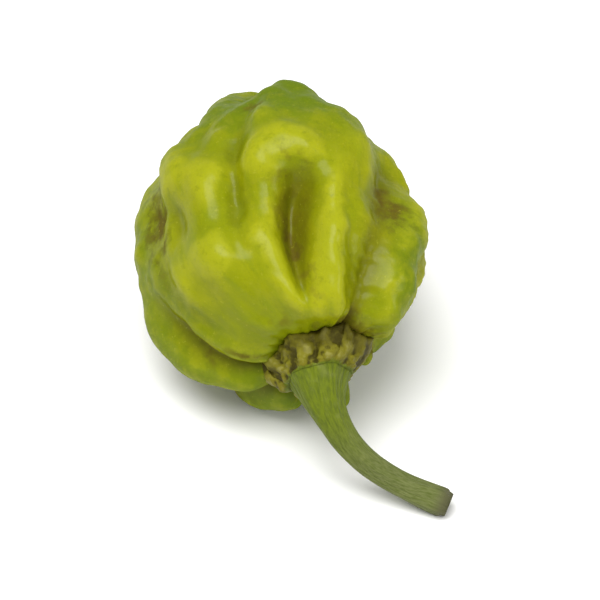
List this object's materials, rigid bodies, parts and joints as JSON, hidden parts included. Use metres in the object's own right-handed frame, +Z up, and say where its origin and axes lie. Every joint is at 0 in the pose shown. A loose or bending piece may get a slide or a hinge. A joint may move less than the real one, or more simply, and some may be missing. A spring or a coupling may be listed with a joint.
{
  "type": "scotch bonnet pepper",
  "caption": "Lobed, deeply furrowed yellow-green chilli pod lying on its side, with a brown-rimmed calyx and a curved green stem; rests on its lobes and stem tip.",
  "frame": {"origin": "centre of the bounding box, at its bottom, on the surface that the pepper lies on", "axes": "+Z up; the pod's long axis lies along Y and dips 9 degrees to the stem end, which points towards -Y"},
  "size_m": [0.0414, 0.056, 0.0381],
  "materials": {
    "pod_skin": null,
    "green_stem": null
  },
  "bodies": {
    "root": {"pod": "pod_skin", "calyx_and_stem": "green_stem"}
  },
  "joints": []
}
